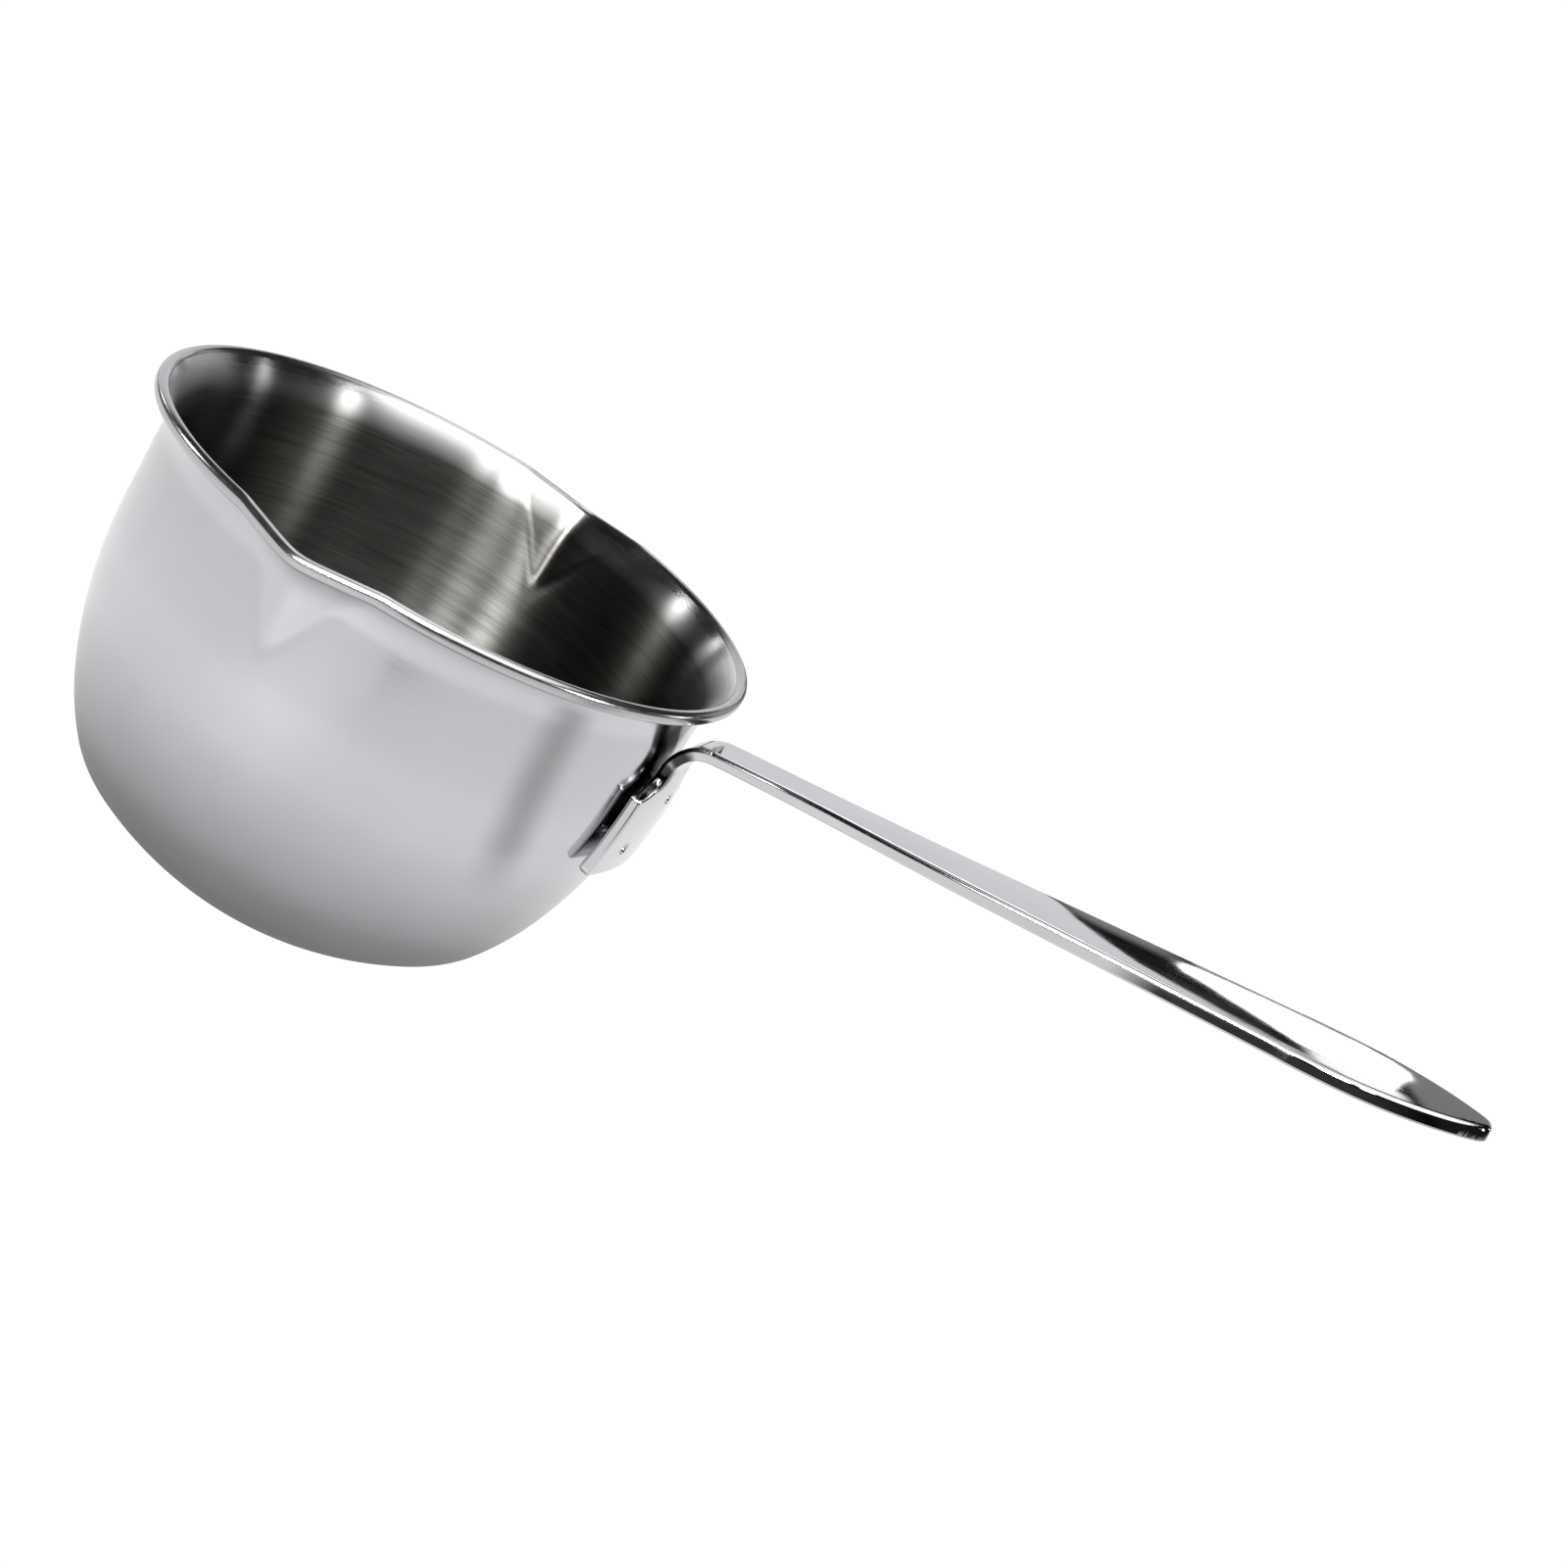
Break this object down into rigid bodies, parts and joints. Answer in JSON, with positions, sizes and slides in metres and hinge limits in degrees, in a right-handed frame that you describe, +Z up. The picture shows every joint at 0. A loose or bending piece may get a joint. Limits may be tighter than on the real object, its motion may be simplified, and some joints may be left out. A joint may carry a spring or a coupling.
{
  "type": "candle melting pot",
  "caption": "Stainless steel melting pot with a rounded bowl, curled rim, pouring beaks on both sides and a long welded strip handle.",
  "frame": {"origin": "centre of the flat base's underside, where the pot rests", "axes": "+Z up out of the mouth, +X from the bowl's centre along the handle, +Y and -Y through the pouring beaks"},
  "size_m": [0.2794, 0.1308, 0.1027],
  "materials": {
    "bowl_steel": "satin outside, circumferentially brushed inside, polished rim",
    "handle_steel": "polished",
    "weld_steel": "as welded"
  },
  "bodies": {
    "root": {"pot_bowl": "bowl_steel", "handle": "handle_steel", "weld_nuggets": "weld_steel"}
  },
  "joints": []
}
